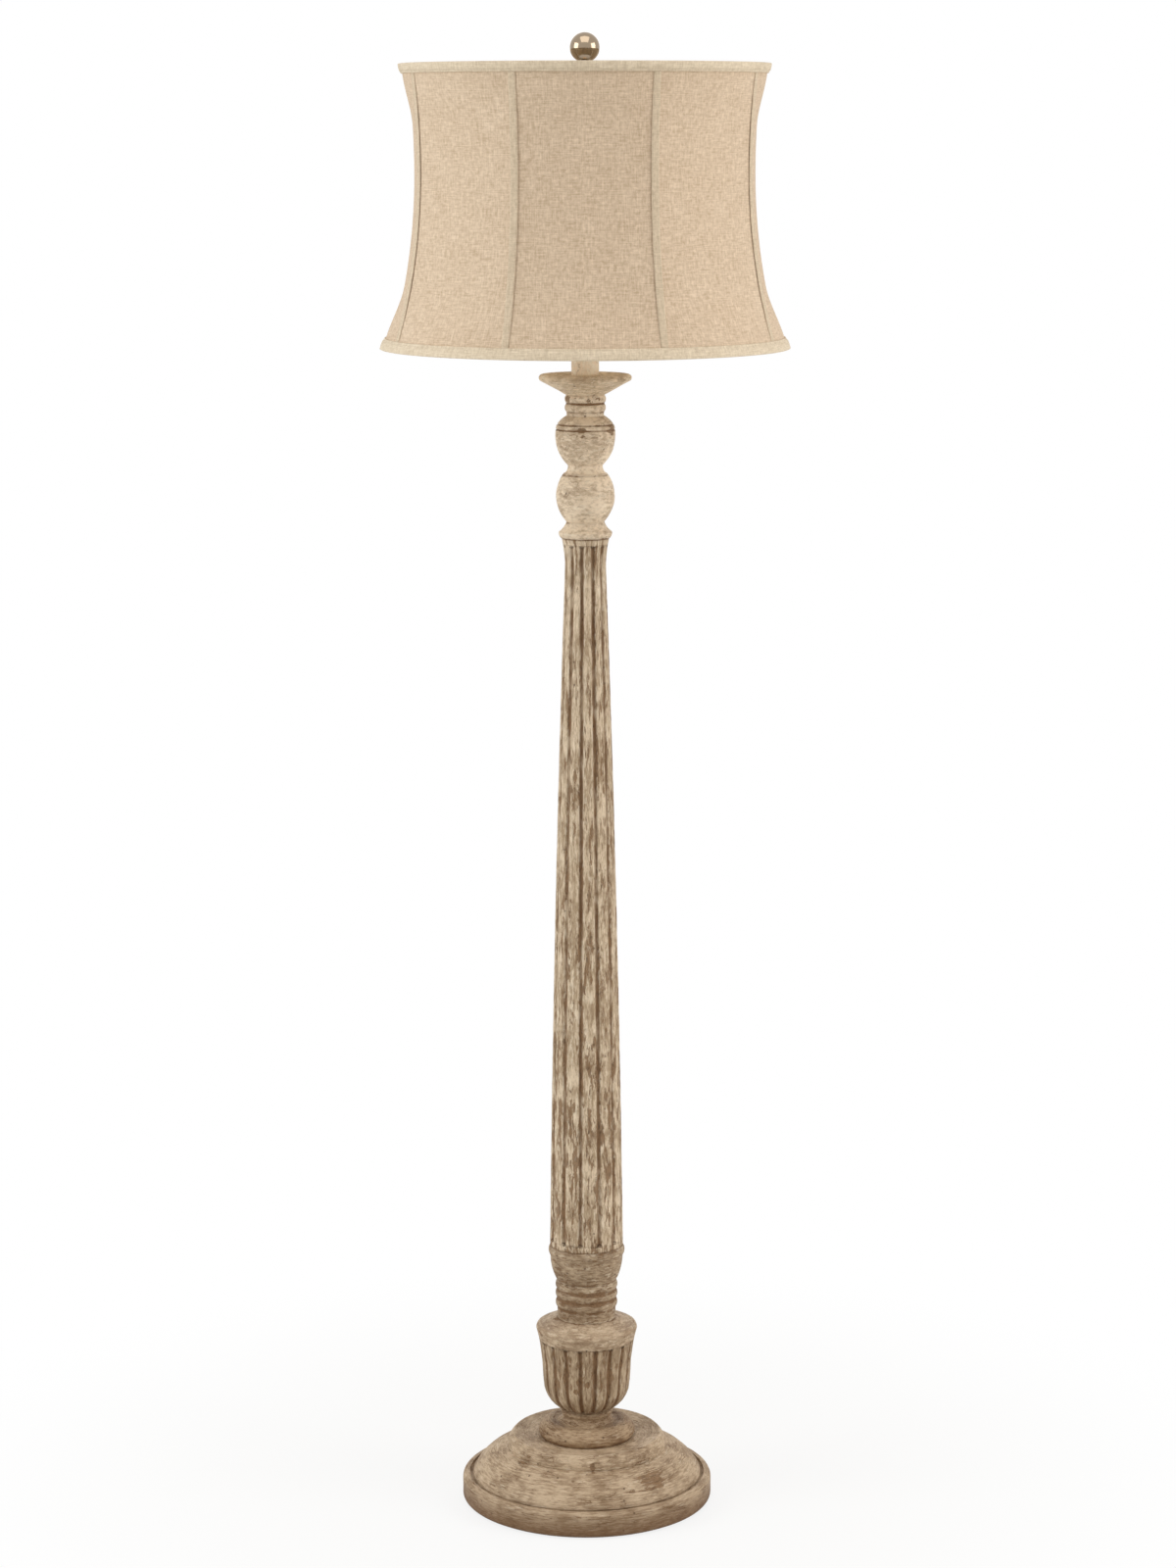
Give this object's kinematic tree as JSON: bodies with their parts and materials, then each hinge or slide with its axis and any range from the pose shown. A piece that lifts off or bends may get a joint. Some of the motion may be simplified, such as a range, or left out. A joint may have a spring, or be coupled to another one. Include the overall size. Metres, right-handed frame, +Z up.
{
  "type": "candlestick floor lamp",
  "caption": "Floor lamp with a turned and fluted wooden candlestick column on a round stepped base, and a panelled bell-drum cloth shade on a harp with a ball finial.",
  "frame": {"origin": "centre of the underside of the felt under the base", "axes": "+Z up along the lamp's axis, -Y the front with the switch knob, +X to the lamp's left as seen from the front, harp in the XZ plane, cord inlet at +Y"},
  "size_m": [0.4403, 0.4404, 1.6255],
  "materials": {
    "painted_wood": "worn cream paint over brown wood, matt",
    "painted_sleeve": "worn cream paint, matt",
    "felt": "pressed felt",
    "weight_iron": "as cast",
    "zinc_steel": "zinc plated",
    "bushing_plastic": "matt",
    "nickel": "polished warm nickel",
    "liner_card": "plain",
    "phenolic": "moulded",
    "brass": "plain",
    "aluminium": "plain",
    "switch_steel": "turned",
    "knob_plastic": "moulded",
    "vitrite": "black glass",
    "bulb_glass": "frosted",
    "linen": "slub linen",
    "trim_cloth": "plain weave band",
    "lining_cloth": "off-white lining",
    "shade_wire": "white coated wire"
  },
  "bodies": {
    "stand": {"base_plinth": "painted_wood", "base_tier": "painted_wood", "base_collar": "painted_wood", "urn": "painted_wood", "lower_neck": "painted_wood", "shaft_cup": "painted_wood", "shaft": "painted_wood", "capital": "painted_wood", "lower_ball": "painted_wood", "upper_ball": "painted_wood", "upper_neck": "painted_wood", "drip_dish": "painted_wood", "candle_sleeve": "painted_sleeve", "sleeve_cap": "painted_sleeve", "base_felt": "felt", "base_weight": "weight_iron", "weight_screws": "zinc_steel", "bottom_washer": "zinc_steel", "bottom_nut": "zinc_steel", "lamp_pipe": "zinc_steel", "top_nut": "zinc_steel", "cord_bushing": "bushing_plastic", "harp_saddle": "nickel", "harp_wire": "nickel", "harp_stud": "nickel", "socket_cap": "nickel", "socket_shell": "nickel", "socket_liner": "liner_card", "socket_body": "phenolic", "socket_contact": "brass", "socket_screw_shell": "aluminium"},
    "shade": {"shade_panel_1": "linen", "shade_panel_2": "linen", "shade_panel_3": "linen", "shade_panel_4": "linen", "shade_panel_5": "linen", "shade_panel_6": "linen", "shade_panel_7": "linen", "shade_panel_8": "linen", "seam_strips": "linen", "shade_top_trim": "trim_cloth", "shade_bottom_trim": "trim_cloth", "shade_lining": "lining_cloth", "shade_top_ring": "shade_wire", "shade_bottom_ring": "shade_wire", "shade_ribs": "shade_wire", "shade_spider": "shade_wire"},
    "finial": {"finial_base": "nickel", "finial_ball": "nickel"},
    "bulb": {"bulb_tip": "brass", "bulb_insulator": "vitrite", "bulb_cap": "aluminium", "bulb_glass": "bulb_glass"},
    "switch": {"switch_shaft": "switch_steel", "switch_knob": "knob_plastic"},
    "ferrule_left": {"ferrule_left": "nickel"},
    "ferrule_right": {"ferrule_right": "nickel"}
  },
  "joints": [
    {"name": "shade_lift", "type": "slide", "parent": "stand", "child": "shade", "axis": [0, 0, 1], "range_m": [0, 0.32]},
    {"name": "finial_turn", "type": "hinge", "parent": "shade", "child": "finial", "pos_m": [0, 0, 1.58], "axis": [0, 0, 1], "continuous": true},
    {"name": "bulb_turn", "type": "hinge", "parent": "stand", "child": "bulb", "pos_m": [0, 0, 1.36], "axis": [0, 0, 1], "continuous": true},
    {"name": "switch_turn", "type": "hinge", "parent": "stand", "child": "switch", "pos_m": [0, 0, 1.3471], "axis": [0, -1, 0], "continuous": true},
    {"name": "ferrule_left_lift", "type": "slide", "parent": "stand", "child": "ferrule_left", "axis": [0, 0, 1], "range_m": [0, 0.018]},
    {"name": "ferrule_right_lift", "type": "slide", "parent": "stand", "child": "ferrule_right", "axis": [0, 0, 1], "range_m": [0, 0.018]}
  ]
}
